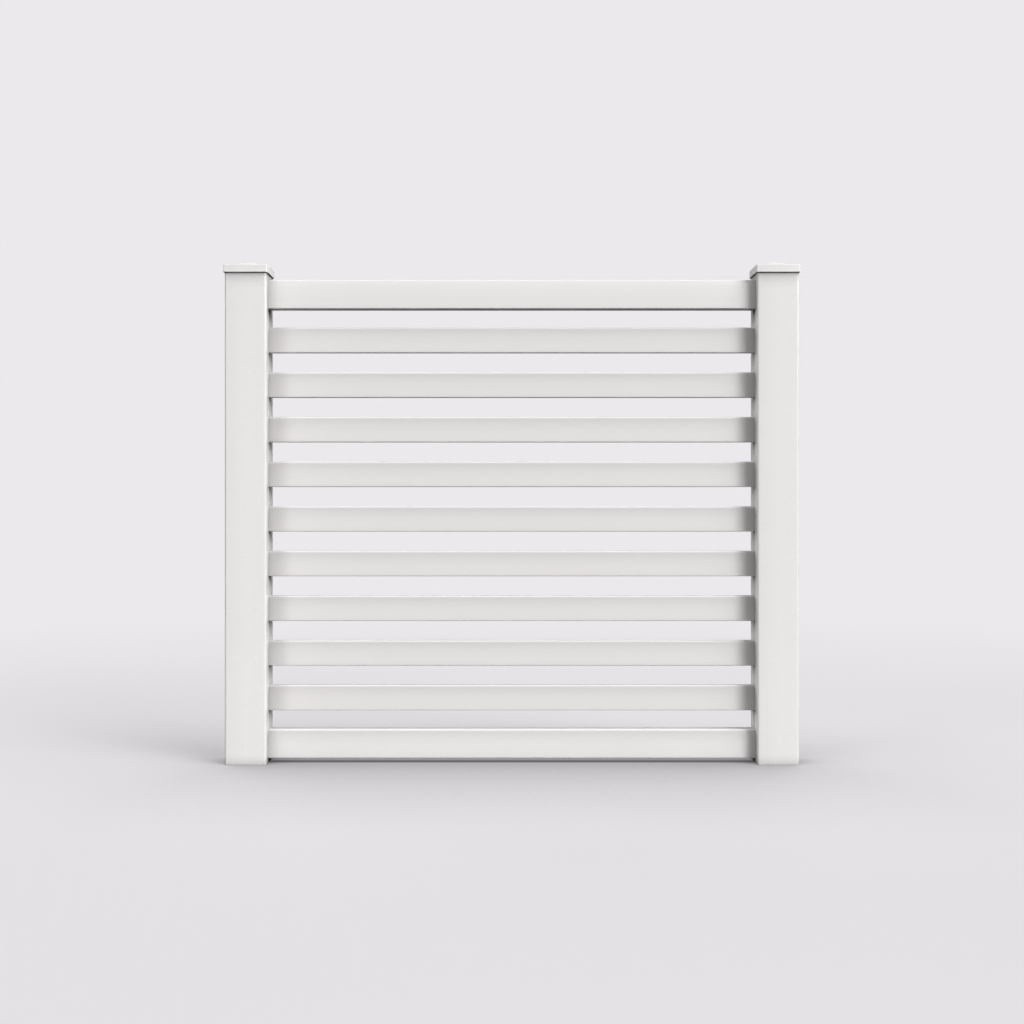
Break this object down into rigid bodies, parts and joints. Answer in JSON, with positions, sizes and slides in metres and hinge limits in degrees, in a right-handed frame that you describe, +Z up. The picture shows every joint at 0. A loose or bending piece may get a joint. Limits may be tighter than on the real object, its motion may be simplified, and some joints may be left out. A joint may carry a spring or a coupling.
{
  "type": "horizontal picket fence",
  "caption": "Bay of white vinyl fence with horizontal pickets between a top and a bottom rail, set into square capped posts that stand over steel cores.",
  "frame": {"origin": "on the ground, midway between the posts and centred in their depth", "axes": "+X along the fence to the right, +Y from the front to the back, +Z up"},
  "size_m": [1.7656, 0.1346, 1.5486],
  "materials": {
    "extruded_vinyl": "white extruded PVC with a satin gloss",
    "moulded_vinyl": "white moulded PVC with a soft gloss",
    "galvanised_steel": "hot-dip galvanised, dull grey with a faint spangle",
    "weld_metal": "fillet weld bead, dull",
    "black_nylon": "moulded nylon, matt black",
    "zinc_plated_steel": "bright zinc plating"
  },
  "bodies": {
    "root": {"left_post": "extruded_vinyl", "left_post_cap": "moulded_vinyl", "left_base_plate": "galvanised_steel", "left_core_tube": "galvanised_steel", "left_core_weld": "weld_metal", "left_lower_collar": "black_nylon", "left_lower_screw_1": "zinc_plated_steel", "left_lower_screw_2": "zinc_plated_steel", "left_upper_collar": "black_nylon", "left_upper_screw_1": "zinc_plated_steel", "left_upper_screw_2": "zinc_plated_steel", "right_post": "extruded_vinyl", "right_post_cap": "moulded_vinyl", "right_base_plate": "galvanised_steel", "right_core_tube": "galvanised_steel", "right_core_weld": "weld_metal", "right_lower_collar": "black_nylon", "right_lower_screw_1": "zinc_plated_steel", "right_lower_screw_2": "zinc_plated_steel", "right_upper_collar": "black_nylon", "right_upper_screw_1": "zinc_plated_steel", "right_upper_screw_2": "zinc_plated_steel", "top_rail": "extruded_vinyl", "top_rail_stiffener": "galvanised_steel", "bottom_rail": "extruded_vinyl", "bottom_rail_stiffener": "galvanised_steel", "picket_1": "extruded_vinyl", "picket_2": "extruded_vinyl", "picket_3": "extruded_vinyl", "picket_4": "extruded_vinyl", "picket_5": "extruded_vinyl", "picket_6": "extruded_vinyl", "picket_7": "extruded_vinyl", "picket_8": "extruded_vinyl", "picket_9": "extruded_vinyl"}
  },
  "joints": []
}
